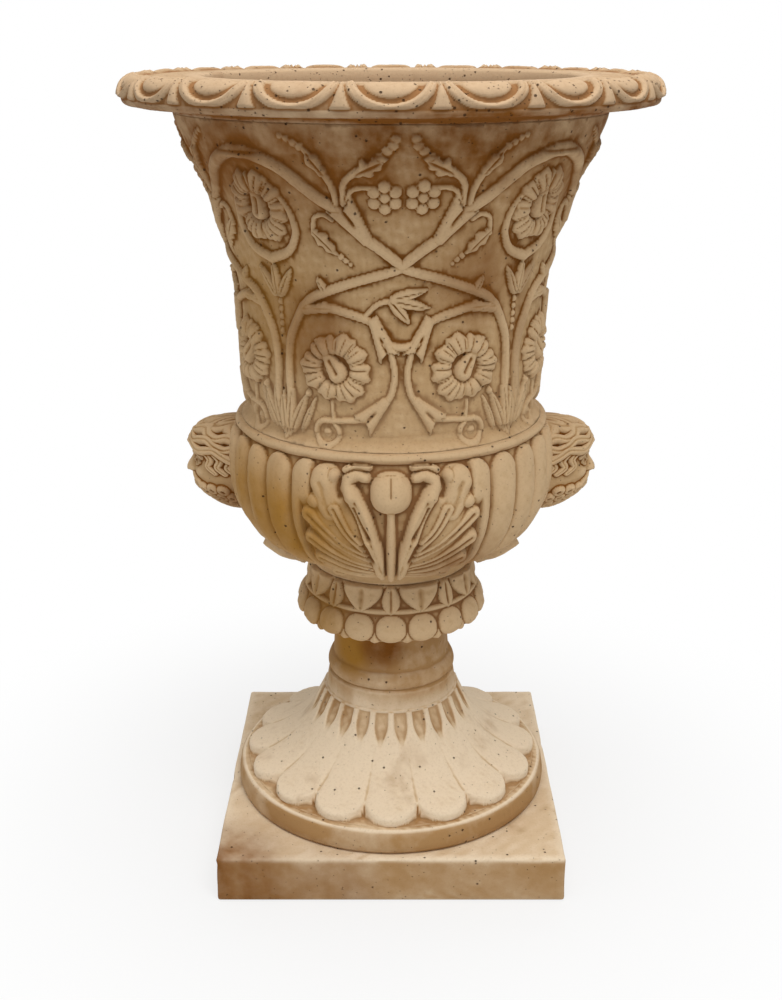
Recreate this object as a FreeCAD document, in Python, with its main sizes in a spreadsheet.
import FreeCAD, Part
import math
import os
from types import SimpleNamespace

import Sketcher
from FreeCAD import Placement, Rotation, Vector

# Cast concrete garden planter: a bell-shaped vase on a round petalled foot and a square plinth.
# Sizes are in millimetres. The origin is the centre of the plinth's underside, +Z is up and the
# front faces -Y. The castings are stacked from the ground up, so each height is a sum of those below.

SIZES = {
    # square plinth and the bars cast into it
    "plinth_side": 340,
    "plinth_height": 48,
    "plinth_edge": 3,
    "bar_radius": 4,
    "bar_cover": 20,
    "bar_spacing": 180,
    "bar_gap": 1,
    # mortar beds between bonded castings
    "bed_thickness": 2,
    "bed_inset": 5,
    # foot: disc, petalled slope, collar, ring and neck
    "disc_radius": 163,
    "disc_height": 22,
    "disc_batter": 5,
    "slope_radius": 139,
    "slope_edge": 4,
    "slope_height": 80,
    "slope_hollow": 19,
    "collar_radius": 70,
    "collar_height": 20,
    "ring_bulge": 5.5,
    "ring_height": 20,
    "neck_radius": 60,
    "neck_height": 40,
    "petal_count": 16,
    "petal_radius": 111,
    "petal_half_length": 44,
    "petal_half_width": 23,
    "petal_rise": 11,
    "petal_lift": 15,
    # pipe that locates the vase and drains it, and the socket in the knop that takes it
    "pipe_radius": 21.2,
    "pipe_wall": 3.2,
    "pipe_recess": 8,
    "spigot_height": 44,
    "spigot_clearance": 0.8,
    "socket_depth": 50,
    "sleeve_radius": 16,
    "sleeve_wall": 2,
    # knop
    "knop_base_radius": 62,
    "knop_edge_radius": 90,
    "knop_edge_height": 11,
    "knop_crown_radius": 93,
    "knop_crown_height": 18,
    "knop_hollow": 4,
    "knop_top_radius": 80,
    "knop_height": 64,
    "bead_count": 18,
    "bead_radius": 86,
    "bead_height": 24,
    "bead_rise": 10,
    "bead_half_width": 14,
    "bead_half_height": 13,
    "frill_count": 18,
    "frill_radius": 79,
    "frill_height": 50,
    "frill_rise": 7,
    "frill_half_width": 8,
    "frill_half_height": 13,
    # gadrooned bowl
    "bowl_base_radius": 80,
    "bowl_foot_radius": 116,
    "bowl_foot_height": 30,
    "bowl_foot_hollow": 5,
    "bowl_shoulder_radius": 144,
    "bowl_height": 154,
    "bowl_bulge": 22,
    "lip_radius": 150,
    "lip_height": 12,
    "lip_bulge": 2.5,
    "bowl_floor": 24,
    "cavity_floor_radius": 66,
    "cavity_bulge": 14,
    "lobe_count": 30,
    "lobe_radius": 139,
    "lobe_height": 92,
    "lobe_rise": 16,
    "lobe_half_width": 14.3,
    "lobe_half_height": 56,
    # leaf on the bowl's front and back
    "leaf_radius": 141,
    "leaf_height": 86,
    "leaflet_rise": 20,
    "leaflet_half_width": 13,
    "leaflet_half_height": 44,
    "stem_half_width": 7,
    "stem_half_height": 50,
    "bud_height": 123,
    "bud_rise": 20,
    "bud_half_width": 15,
    "bud_half_height": 17,
    # heads on the bowl's sides and the pins that hold them
    "head_radius": 143,
    "head_height": 106,
    "head_depth": 48,
    "head_half_width": 30,
    "head_half_height": 40,
    "hair_drop": 8,
    "hair_half_width": 38,
    "hair_half_height": 38,
    "hair_depth": 50,
    "beard_drop": 26,
    "beard_depth": 53,
    "beard_half_width": 26,
    "beard_half_height": 28,
    "nose_depth": 55,
    "nose_half_width": 6,
    "nose_half_height": 10,
    "pin_radius": 4,
    "pin_length": 44,
    "pin_spacing": 30,
    # bell
    "bell_base_radius": 145,
    "bell_waist_radius": 139,
    "bell_waist_height": 14,
    "bell_height": 280,
    "bell_top_radius": 194,
    "bell_hollow": 18,
    "bell_wall": 25,
    "hoop_radius": 3,
    "hoop_cover": 20,
    # relief on the bell
    "scroll_radius": 33,
    "scroll_cord": 5,
    "relief_sink": 2,
    "floret_ring_radius": 16,
    "floret_radius": 6,
    "flower_eye_radius": 8,
    "low_flower_height": 92,
    "high_flower_height": 208,
    "top_flower_height": 228,
    "cross_height": 160,
    "cross_reach": 29,
    "cross_half_length": 26,
    "cross_half_width": 5,
    "cross_rise": 11,
    "limb_height": 227,
    "limb_half_length": 30,
    "root_height": 44,
    "root_half_length": 38,
    "root_half_width": 8,
    "root_rise": 9,
    # rim
    "rim_radius": 237,
    "rim_step": 5,
    "rim_drop": 5,
    "rim_height": 32,
    "rim_crown_radius": 226,
    "rim_bulge": 6,
    "rim_hoop_radius": 206,
    "egg_count": 20,
    "egg_radius": 231,
    "egg_height": 18,
    "egg_rise": 14.5,
    "egg_half_width": 28,
    "egg_half_height": 14,
    "dart_rise": 13,
    "dart_half_width": 4,
    "dart_half_height": 11,
    # how far a cut runs past the face that it leaves
    "overrun": 4,
}

# Places that follow a named size as a share of it
HOOP_LEAN_SHARE = 0.5
ROOT_SIDE_SHARE = 0.35

# Angles in degrees: where ornaments sit round the axis and how they lean and fan
FULL_TURN = 360.0
FRONT = -90.0
SEAM_TURN = 7.0
QUARTERS = (0.0, 90.0, 180.0, 270.0)
LEAF_FACES = (FRONT, FRONT + 180.0)
LEAF_COVER = 29.0
LEAFLETS = ((-20.0, -36.0), (-13.0, -22.0), (-6.0, -10.0), (6.0, 10.0), (13.0, 22.0), (20.0, 36.0))
PETAL_LEAN = 64.0
BEAD_LEAN = 18.0
FRILL_LEAN = 20.0
LOBE_LEAN = -14.0
EGG_LEAN = 22.0
BELL_TURN = 3.5
FLOWER_PETALS = 8
LOW_FLOWER_TURN = 22.5
LOW_FLOWER_LEAN = -5.0
HIGH_FLOWER_TURN = 45.0
HIGH_FLOWER_LEAN = -16.0
SCROLL_ROLL = 11.0
TOP_FLOWER_TURN = 6.0
CROSS_LEAN = -6.0
CROSS_ROLLS = (62.0, -62.0)
LIMB_TURN = 25.0
LIMB_LEAN = -24.0
LIMB_ROLL = -50.0
ROOT_ROLLS = (-32.0, 0.0, 32.0)
SIDES = {"mask_left": 180.0, "mask_right": 0.0}
OUT, IN = 1, -1
SIDEWAYS = Rotation(Vector(1, 0, 0), 90)
FACING = Rotation(Vector(0, 1, 0), 90)

doc = FreeCAD.newDocument("planter")
sheet = doc.addObject("Spreadsheet::Sheet", "dims")
for row, (alias, number) in enumerate(SIZES.items(), start=1):
    sheet.set(f"A{row}", alias)
    sheet.set(f"B{row}", str(number))
    sheet.setAlias(f"B{row}", alias)
doc.recompute()


class Size:
    """A length as a number and as the sheet expression that gives it."""

    def __init__(self, number, text):
        self.number = number
        self.text = text

    @staticmethod
    def of(value):
        return value if isinstance(value, Size) else Size(float(value), repr(float(value)))

    def join(self, number, sign, other):
        return Size(number, f"({self.text} {sign} {other.text})")

    def __add__(self, value):
        other = Size.of(value)
        return self.join(self.number + other.number, "+", other)

    def __sub__(self, value):
        other = Size.of(value)
        return self.join(self.number - other.number, "-", other)

    def __mul__(self, value):
        other = Size.of(value)
        return self.join(self.number * other.number, "*", other)

    def __truediv__(self, value):
        other = Size.of(value)
        return self.join(self.number / other.number, "/", other)


dim = SimpleNamespace(**{name: Size(float(getattr(sheet, name)), f"dims.{name}") for name in SIZES})
zero = Size.of(0)
one = Size.of(1)

# Heights of the castings' undersides above the ground
foot_base = dim.plinth_height + dim.bed_thickness
slope_top = dim.disc_height + dim.slope_height
ring_base = slope_top + dim.collar_height
neck_base = ring_base + dim.ring_height
foot_height = neck_base + dim.neck_height
knop_base = foot_base + foot_height
bowl_base = knop_base + dim.knop_height + dim.bed_thickness
bell_base = bowl_base + dim.bowl_height + dim.bed_thickness
rim_base = bell_base + dim.bell_height + dim.bed_thickness

# Radii that two castings share
socket_radius = dim.pipe_radius + dim.spigot_clearance
throat_radius = dim.bell_waist_radius - dim.bell_wall
mouth_radius = dim.bell_top_radius - dim.bell_wall


def bind(thing, **sizes):
    """Ties properties of a document object to the sheet."""
    for name, value in sizes.items():
        thing.setExpression(name, value.text)
    return thing


def move(thing, x=zero, y=zero, z=zero):
    """Ties a document object's place to the sheet."""
    for axis, value in zip("xyz", (x, y, z)):
        thing.setExpression(f"Placement.Base.{axis}", value.text)
    return thing


def origin_plane(body, role):
    return next(plane for plane in body.Origin.OriginFeatures if plane.Role == role)


def add_sketch(body, name, role):
    sketch = body.newObject("Sketcher::SketchObject", name)
    sketch.AttachmentSupport = (origin_plane(body, role), [""])
    sketch.MapMode = "FlatFace"
    return sketch


def set_datum(sketch, name, value, *constraint):
    """Adds one named dimension to a sketch and ties it to the sheet."""
    place = sketch.addConstraint(Sketcher.Constraint(*constraint, value.number))
    sketch.renameConstraint(place, name)
    sketch.setExpression(f"Constraints.{name}", value.text)


def arc_between(start, end, side, bulge):
    """The arc from start to end, bowed to the right (OUT) or left (IN) of the way, and its radius."""
    run = (end[0] - start[0], end[1] - start[1])
    square = run[0] * run[0] + run[1] * run[1]
    radius = square / (bulge * 8) + bulge / 2
    chord = math.sqrt(square.number)
    reach = side * (radius.number - bulge.number) / chord
    centre = Vector(
        (start[0].number + end[0].number) / 2 - reach * run[1].number,
        (start[1].number + end[1].number) / 2 + reach * run[0].number,
    )
    ends = (start, end) if side == OUT else (end, start)
    angles = [math.atan2(point[1].number - centre.y, point[0].number - centre.x) for point in ends]
    if angles[1] < angles[0]:
        angles[1] += 2 * math.pi
    return Part.ArcOfCircle(Part.Circle(centre, Vector(0, 0, 1), radius.number), *angles), radius


def draw_outline(sketch, points, arcs):
    """Draws a closed loop through points, with arcs as {index of the first point: (side, bulge)}."""
    starts, ends = [], []
    for index, start in enumerate(points):
        end = points[(index + 1) % len(points)]
        if index in arcs:
            curve, radius = arc_between(start, end, *arcs[index])
            sketch.addGeometry(curve)
            set_datum(sketch, f"bow_{index}", radius, "Radius", index)
            forward = arcs[index][0] == OUT
        else:
            corners = [Vector(point[0].number, point[1].number) for point in (start, end)]
            sketch.addGeometry(Part.LineSegment(*corners))
            forward = True
        starts.append(1 if forward else 2)
        ends.append(2 if forward else 1)
    for index, point in enumerate(points):
        following = (index + 1) % len(points)
        joint = ("Coincident", index, ends[index], following, starts[following])
        sketch.addConstraint(Sketcher.Constraint(*joint))
        for letter, value, axis in (("X", point[0], -2), ("Y", point[1], -1)):
            if value.number:
                target = (f"Distance{letter}", -1, 1, index, starts[index])
                set_datum(sketch, f"{letter.lower()}_{index}", value, *target)
            else:
                sketch.addConstraint(Sketcher.Constraint("PointOnObject", index, starts[index], axis))


def turned(label, base, points, arcs):
    """A casting turned about the vertical axis from half of its section, standing at base."""
    body = doc.addObject("PartDesign::Body", label)
    sketch = add_sketch(body, f"{label}_section", "XZ_Plane")
    draw_outline(sketch, points, arcs)
    turn = body.newObject("PartDesign::Revolution", f"{label}_turn")
    turn.Profile = sketch
    turn.ReferenceAxis = (sketch, ["V_Axis"])
    turn.Angle = FULL_TURN
    body.Placement = Placement(Vector(), Rotation(Vector(0, 0, 1), SEAM_TURN))
    return move(body, z=base)


def washer(label, base, inner, outer, height):
    """A plain ring of square section."""
    return turned(label, base, [(inner, zero), (outer, zero), (outer, height), (inner, height)], {})


def seat(thing, azimuth, radius, height, lean=0.0, roll=0.0, stance=SIDEWAYS):
    """Sets an ornament at an azimuth on a turned face, leaning its face upwards and rolled in that face."""
    turn = Rotation(Vector(0, 0, 1), azimuth)
    tilt = Rotation(Vector(0, 1, 0), -lean)
    spin = Rotation(Vector(1, 0, 0), roll)
    thing.Placement = Placement(Vector(), turn * tilt * spin * stance)
    angle = math.radians(azimuth)
    return move(thing, radius * math.cos(angle), radius * math.sin(angle), height)


def boss(name, rise, half_width, half_height):
    """A rounded ornament whose poles lie sideways, inside the casting that carries it."""
    shape = doc.addObject("Part::Ellipsoid", name)
    return bind(shape, Radius1=half_width, Radius2=rise, Radius3=half_height)


def ball(name, radius):
    return bind(doc.addObject("Part::Sphere", name), Radius=radius)


def round_bosses(name, count, phase, place, size):
    """Equal bosses in a ring: place is (radius, height, lean), size is (rise, half width, half height)."""
    steps = range(int(count.number))
    radius, height, lean = place
    return [
        seat(boss(f"{name}_{step}", *size), phase + step * FULL_TURN / len(steps), radius, height, lean)
        for step in steps
    ]


def joined(label, blank, ornaments):
    whole = doc.addObject("Part::MultiFuse", label)
    whole.Shapes = [blank, *ornaments]
    whole.Refine = False
    return whole


def cut(label, base, tool):
    whole = doc.addObject("Part::Cut", label)
    whole.Base = base
    whole.Tool = tool
    whole.Refine = False
    return whole


def group(label, members):
    whole = doc.addObject("Part::Compound", label)
    whole.Links = members
    return whole


def hoop(name, radius, height):
    """A wire hoop cast into a ring."""
    return move(bind(doc.addObject("Part::Torus", name), Radius1=radius, Radius2=dim.hoop_radius), z=height)


def rod(name, radius, length, turn):
    """A round bar centred on its own middle, along the axis that turn gives to +Z."""
    bar = bind(doc.addObject("Part::Cylinder", name), Radius=radius, Height=length)
    bar.Placement = Placement(Vector(), turn)
    return bar


def make_plinth():
    """The slab, bored for the pipe, and the four bars inside it in two layers."""
    along_x = Rotation(Vector(0, 1, 0), 90)
    along_y = Rotation(Vector(1, 0, 0), -90)
    length = dim.plinth_side - dim.bar_cover * 2
    low = dim.plinth_height / 2 - dim.bar_gap / 2 - dim.bar_radius
    high = dim.plinth_height / 2 + dim.bar_gap / 2 + dim.bar_radius
    bars = []
    for side in (-1, 1):
        aside = dim.bar_spacing * (side / 2)
        start = length * -0.5
        bars.append(move(rod(f"bar_x_{side + 1}", dim.bar_radius, length, along_x), start, aside, low))
        bars.append(move(rod(f"bar_y_{side + 1}", dim.bar_radius, length, along_y), aside, start, high))
    plinth_bars = group("plinth_bars", bars)
    half = dim.plinth_side / 2
    body = doc.addObject("PartDesign::Body", "plinth_slab")
    sketch = add_sketch(body, "plinth_square", "XY_Plane")
    minus = half * -1
    draw_outline(sketch, [(minus, minus), (half, minus), (half, half), (minus, half)], {})
    pad = bind(body.newObject("PartDesign::Pad", "plinth_pad"), Length=dim.plinth_height)
    pad.Profile = sketch
    doc.recompute()
    raised = [
        f"Edge{index}"
        for index, edge in enumerate(pad.Shape.Edges, start=1)
        if edge.CenterOfMass.z > 0
    ]
    softened = bind(body.newObject("PartDesign::Fillet", "plinth_edges"), Radius=dim.plinth_edge)
    softened.Base = (pad, raised)
    bore = body.newObject("PartDesign::SubtractiveCylinder", "plinth_bore")
    bind(bore, Radius=dim.pipe_radius, Height=dim.plinth_height + dim.overrun * 2)
    move(bore, z=dim.overrun * -1)
    return [cut("plinth", body, plinth_bars), plinth_bars]


def make_foot():
    """Disc, petalled slope, collar, ring and neck, cast round the pipe."""
    disc_top = dim.disc_radius - dim.disc_batter
    section = [
        (dim.pipe_radius, zero),
        (dim.disc_radius, zero),
        (disc_top, dim.disc_height),
        (dim.slope_radius, dim.disc_height),
        (dim.slope_radius, dim.disc_height + dim.slope_edge),
        (dim.collar_radius, slope_top),
        (dim.collar_radius, ring_base),
        (dim.neck_radius, ring_base),
        (dim.neck_radius, neck_base),
        (dim.neck_radius, foot_height),
        (dim.pipe_radius, foot_height),
    ]
    arcs = {4: (IN, dim.slope_hollow), 7: (OUT, dim.ring_bulge)}
    blank = turned("foot_blank", foot_base, section, arcs)
    place = (dim.petal_radius, foot_base + dim.disc_height + dim.petal_lift, PETAL_LEAN)
    size = (dim.petal_rise, dim.petal_half_width, dim.petal_half_length)
    petals = round_bosses("petal", dim.petal_count, FRONT, place, size)
    return [joined("foot", blank, petals)]


def make_pipe():
    """The pipe from just above the plinth's underside to the top of the spigot."""
    top = knop_base + dim.spigot_height
    inner = dim.pipe_radius - dim.pipe_wall
    return [washer("spigot_pipe", dim.pipe_recess, inner, dim.pipe_radius, top - dim.pipe_recess)]


def make_knop():
    """The knop with its socket, its row of beads and its frill of leaves."""
    section = [
        (socket_radius, zero),
        (dim.knop_base_radius, zero),
        (dim.knop_edge_radius, dim.knop_edge_height),
        (dim.knop_crown_radius, dim.knop_crown_height),
        (dim.knop_top_radius, dim.knop_height),
        (dim.sleeve_radius, dim.knop_height),
        (dim.sleeve_radius, dim.socket_depth),
        (socket_radius, dim.socket_depth),
    ]
    blank = turned("knop_blank", knop_base, section, {3: (IN, dim.knop_hollow)})
    bead_place = (dim.bead_radius, knop_base + dim.bead_height, BEAD_LEAN)
    bead_size = (dim.bead_rise, dim.bead_half_width, dim.bead_half_height)
    frill_place = (dim.frill_radius, knop_base + dim.frill_height, FRILL_LEAN)
    frill_size = (dim.frill_rise, dim.frill_half_width, dim.frill_half_height)
    half_step = FULL_TURN / dim.frill_count.number / 2
    beads = round_bosses("bead", dim.bead_count, FRONT, bead_place, bead_size)
    frill = round_bosses("frill", dim.frill_count, FRONT + half_step, frill_place, frill_size)
    return [joined("knop", blank, beads + frill)]


def make_sleeve():
    """The drain sleeve from the bowl's floor down to the socket in the knop."""
    base = knop_base + dim.socket_depth
    length = bowl_base + dim.bowl_floor - base
    inner = dim.sleeve_radius - dim.sleeve_wall
    return [washer("drain_sleeve", base, inner, dim.sleeve_radius, length)]


def make_pins():
    """Two dowels behind each head, half in the bowl's wall and half in the head."""
    pins = []
    start = dim.head_radius - dim.pin_length / 2
    for name, azimuth in SIDES.items():
        for side in (-1, 1):
            height = bowl_base + dim.head_height + dim.pin_spacing * (side / 2)
            turn = Rotation(Vector(0, 0, 1), azimuth) * Rotation(Vector(0, 1, 0), 90)
            pin = rod(f"{name}_pin_{side + 1}", dim.pin_radius, dim.pin_length, turn)
            pins.append(move(pin, start * math.cos(math.radians(azimuth)), zero, height))
    return group("mask_pins", pins)


def bowl_leaf(azimuth):
    """One broad leaf: a stem, a fan of leaflets and a bud."""
    face = f"leaf_{int(azimuth)}"
    stem = boss(f"{face}_stem", dim.leaflet_rise, dim.stem_half_width, dim.stem_half_height)
    bud = boss(f"{face}_bud", dim.bud_rise, dim.bud_half_width, dim.bud_half_height)
    height = bowl_base + dim.leaf_height
    pieces = [
        seat(stem, azimuth, dim.leaf_radius, height, LOBE_LEAN),
        seat(bud, azimuth, dim.leaf_radius, bowl_base + dim.bud_height),
    ]
    for index, (turn, roll) in enumerate(LEAFLETS):
        size = (dim.leaflet_rise, dim.leaflet_half_width, dim.leaflet_half_height)
        leaflet = boss(f"{face}_leaflet_{index}", *size)
        pieces.append(seat(leaflet, azimuth + turn, dim.leaf_radius, height, LOBE_LEAN, roll))
    return pieces


def make_bowl(pins):
    """The bowl with its lip, hollow, gadroons and leaves, bored for the drain and the pins."""
    shoulder = dim.bowl_height - dim.lip_height
    section = [
        (dim.sleeve_radius, zero),
        (dim.bowl_base_radius, zero),
        (dim.bowl_foot_radius, dim.bowl_foot_height),
        (dim.bowl_shoulder_radius, shoulder),
        (dim.lip_radius, shoulder),
        (dim.lip_radius, dim.bowl_height),
        (throat_radius, dim.bowl_height),
        (dim.cavity_floor_radius, dim.bowl_floor),
        (dim.sleeve_radius, dim.bowl_floor),
    ]
    arcs = {
        1: (IN, dim.bowl_foot_hollow),
        2: (OUT, dim.bowl_bulge),
        4: (OUT, dim.lip_bulge),
        6: (IN, dim.cavity_bulge),
    }
    blank = turned("bowl_blank", bowl_base, section, arcs)
    ornaments = [piece for azimuth in LEAF_FACES for piece in bowl_leaf(azimuth)]
    step = FULL_TURN / dim.lobe_count.number
    for index in range(int(dim.lobe_count.number)):
        azimuth = FRONT + (index + 0.5) * step
        turns = [math.remainder(azimuth - face, FULL_TURN) for face in LEAF_FACES]
        if min(abs(turn) for turn in turns) > LEAF_COVER:
            lobe = boss(f"lobe_{index}", dim.lobe_rise, dim.lobe_half_width, dim.lobe_half_height)
            ornaments.append(seat(lobe, azimuth, dim.lobe_radius, bowl_base + dim.lobe_height, LOBE_LEAN))
    whole = joined("bowl_carved", blank, ornaments)
    return cut("bowl", whole, pins)


def make_mask(label, azimuth, bowl, pins):
    """A bearded head, fitted to the bowl's side and kept out of the bowl's hollow."""
    height = bowl_base + dim.head_height
    skull = boss(f"{label}_skull", dim.head_depth, dim.head_half_width, dim.head_half_height)
    hair = boss(f"{label}_hair", dim.hair_depth, dim.hair_half_width, dim.hair_half_height)
    beard = boss(f"{label}_beard", dim.beard_depth, dim.beard_half_width, dim.beard_half_height)
    nose = boss(f"{label}_nose", dim.nose_depth, dim.nose_half_width, dim.nose_half_height)
    seat(skull, azimuth, dim.head_radius, height)
    seat(hair, azimuth, dim.head_radius, height + dim.hair_drop)
    seat(beard, azimuth, dim.head_radius, height - dim.beard_drop)
    seat(nose, azimuth, dim.head_radius, height)
    head = joined(f"{label}_head", skull, [hair, beard, nose])
    hollow = doc.addObject("Part::Cylinder", f"{label}_hollow")
    bind(hollow, Radius=throat_radius + dim.overrun, Height=dim.bowl_height)
    shell = cut(f"{label}_shell", head, move(hollow, z=bowl_base))
    return cut(label, cut(f"{label}_fitted", shell, bowl), pins)


def flower(name, azimuth, height, face, lean):
    """A rosette of florets round an eye, inside a scrolled ring."""
    radius = face - dim.relief_sink
    scroll = doc.addObject("Part::Torus", f"{name}_scroll")
    bind(scroll, Radius1=dim.scroll_radius, Radius2=dim.scroll_cord)
    pieces = [
        seat(scroll, azimuth, radius, height, lean, SCROLL_ROLL, FACING),
        seat(ball(f"{name}_eye", dim.flower_eye_radius), azimuth, radius, height),
    ]
    for index in range(FLOWER_PETALS):
        spread = math.radians(index * FULL_TURN / FLOWER_PETALS)
        above = dim.floret_ring_radius * math.cos(spread)
        turn = math.degrees(dim.floret_ring_radius.number * math.sin(spread) / radius.number)
        outward = radius - above * math.tan(math.radians(lean))
        floret = ball(f"{name}_floret_{index}", dim.floret_radius)
        pieces.append(seat(floret, azimuth + turn, outward, height + above))
    return pieces


def bell_relief():
    """The scrolls, rosettes, stems and root leaves that repeat on each quarter of the bell."""
    low, high = dim.low_flower_height, dim.high_flower_height
    top, cross = dim.top_flower_height, dim.cross_height
    pieces = []
    for quarter in QUARTERS:
        middle = FRONT + BELL_TURN + quarter
        tag = f"{int(quarter)}"
        for side in (-1, 1):
            place = middle + side * LOW_FLOWER_TURN
            name = f"low_{tag}_{side + 1}"
            pieces += flower(name, place, bell_base + low, face_radius(low), LOW_FLOWER_LEAN)
            bud = ball(f"top_{tag}_{side + 1}", dim.flower_eye_radius)
            turn = middle + side * TOP_FLOWER_TURN
            pieces.append(seat(bud, turn, face_radius(top) - dim.relief_sink, bell_base + top))
        place = middle + HIGH_FLOWER_TURN
        pieces += flower(f"high_{tag}", place, bell_base + high, face_radius(high), HIGH_FLOWER_LEAN)
        for roll in CROSS_ROLLS:
            for end in (-1, 1):
                size = (dim.cross_rise, dim.cross_half_width, dim.cross_half_length)
                bar = boss(f"cross_{tag}_{int(roll) + 90}_{end + 1}", *size)
                height = cross + dim.cross_reach * (end * math.cos(math.radians(roll)))
                radius = face_radius(height) - dim.relief_sink
                aside = dim.cross_reach.number * math.sin(math.radians(roll)) / radius.number
                turn = middle - end * math.degrees(aside)
                pieces.append(seat(bar, turn, radius, bell_base + height, CROSS_LEAN, roll))
        for side in (-1, 1):
            size = (dim.cross_rise, dim.cross_half_width, dim.limb_half_length)
            limb = boss(f"limb_{tag}_{side + 1}", *size)
            radius = face_radius(dim.limb_height) - dim.relief_sink
            turn = middle + side * LIMB_TURN
            height = bell_base + dim.limb_height
            pieces.append(seat(limb, turn, radius, height, LIMB_LEAN, side * LIMB_ROLL))
        for roll in ROOT_ROLLS:
            size = (dim.root_rise, dim.root_half_width, dim.root_half_length)
            leaf = boss(f"root_{tag}_{int(roll) + 90}", *size)
            turn = HIGH_FLOWER_TURN - roll * ROOT_SIDE_SHARE
            radius = face_radius(dim.root_height) - dim.relief_sink
            pieces.append(seat(leaf, middle + turn, radius, bell_base + dim.root_height, 0.0, roll))
    return pieces


def make_bell():
    """The flaring bell with its relief, and the two hoops cast into its wall."""
    section = [
        (throat_radius, zero),
        (dim.bell_base_radius, zero),
        (dim.bell_waist_radius, dim.bell_waist_height),
        (dim.bell_top_radius, dim.bell_height),
        (mouth_radius, dim.bell_height),
        (throat_radius, dim.bell_waist_height),
    ]
    arcs = {2: (IN, dim.bell_hollow), 4: (OUT, dim.bell_hollow)}
    blank = turned("bell_blank", bell_base, section, arcs)
    half_wall = dim.bell_wall / 2
    low_hoop = hoop("bell_hoop_low", dim.bell_waist_radius - half_wall, bell_base + dim.hoop_cover)
    lean = dim.hoop_cover * HOOP_LEAN_SHARE
    high = bell_base + dim.bell_height - dim.hoop_cover
    high_hoop = hoop("bell_hoop_high", dim.bell_top_radius - half_wall - lean, high)
    hoops = group("bell_hoops", [low_hoop, high_hoop])
    carved = joined("bell_carved", blank, bell_relief())
    return [cut("bell", carved, hoops), hoops]


def face_radius(height):
    """The radius of the bell's plain face at a height above its base, along the flare's arc."""
    flared = dim.bell_height - dim.bell_waist_height
    share = (height - dim.bell_waist_height) / flared
    flare = (dim.bell_top_radius - dim.bell_waist_radius) * share
    return dim.bell_waist_radius + flare - dim.bell_hollow * share * (one - share) * 4


def make_rim():
    """The overhanging ring with its egg-and-dart moulding, and the hoop inside it."""
    section = [
        (mouth_radius, zero),
        (dim.bell_top_radius + dim.rim_step, zero),
        (dim.rim_radius, dim.rim_drop),
        (dim.rim_crown_radius, dim.rim_height),
        (mouth_radius, dim.rim_height),
    ]
    blank = turned("rim_blank", rim_base, section, {2: (OUT, dim.rim_bulge)})
    place = (dim.egg_radius, rim_base + dim.egg_height, EGG_LEAN)
    egg_size = (dim.egg_rise, dim.egg_half_width, dim.egg_half_height)
    eggs = round_bosses("egg", dim.egg_count, FRONT, place, egg_size)
    half_step = FULL_TURN / dim.egg_count.number / 2
    dart_size = (dim.dart_rise, dim.dart_half_width, dim.dart_half_height)
    darts = round_bosses("dart", dim.egg_count, FRONT + half_step, place, dart_size)
    rim_hoop = hoop("rim_hoop", dim.rim_hoop_radius, rim_base + dim.rim_height / 2)
    return [cut("rim", joined("rim_carved", blank, eggs + darts), rim_hoop), rim_hoop]


def make_beds():
    """The mortar beds, set back from the edges of the castings that they bond."""
    inset = dim.bed_inset
    return [
        washer(
            "plinth_bed", dim.plinth_height, dim.pipe_radius, dim.disc_radius - inset,
            dim.bed_thickness,
        ),
        washer(
            "knop_bed", bowl_base - dim.bed_thickness, dim.sleeve_radius, dim.knop_top_radius - inset,
            dim.bed_thickness,
        ),
        washer(
            "bowl_bed", bell_base - dim.bed_thickness, throat_radius, dim.bell_base_radius - inset,
            dim.bed_thickness,
        ),
        washer(
            "rim_bed", rim_base - dim.bed_thickness, mouth_radius, dim.bell_top_radius - inset,
            dim.bed_thickness,
        ),
    ]


def check(parts):
    """Stops unless every object solved and every part is a valid shape of solids."""
    failed = [thing.Name for thing in doc.Objects if {"Invalid", "Error"} & set(thing.State)]
    if failed:
        raise SystemExit(f"failed objects: {failed}")
    for part in parts:
        shape = part.Shape
        if shape.isNull() or not shape.isValid() or not shape.Solids:
            raise SystemExit(f"{part.Label} is not a valid solid")
        print(f"{part.Label}: {len(shape.Solids)} solids, {shape.Volume / 1000:.1f} cm3")


def main():
    pins = make_pins()
    bowl = make_bowl(pins)
    parts = make_plinth() + make_foot() + make_pipe() + make_knop() + make_sleeve() + [bowl, pins]
    parts += [make_mask(label, azimuth, bowl, pins) for label, azimuth in SIDES.items()]
    parts += make_bell() + make_rim() + make_beds()
    doc.recompute()
    check(parts)
    os.makedirs("parts", exist_ok=True)
    for part in parts:
        part.Shape.exportStep(f"parts/{part.Label}.step")


main()
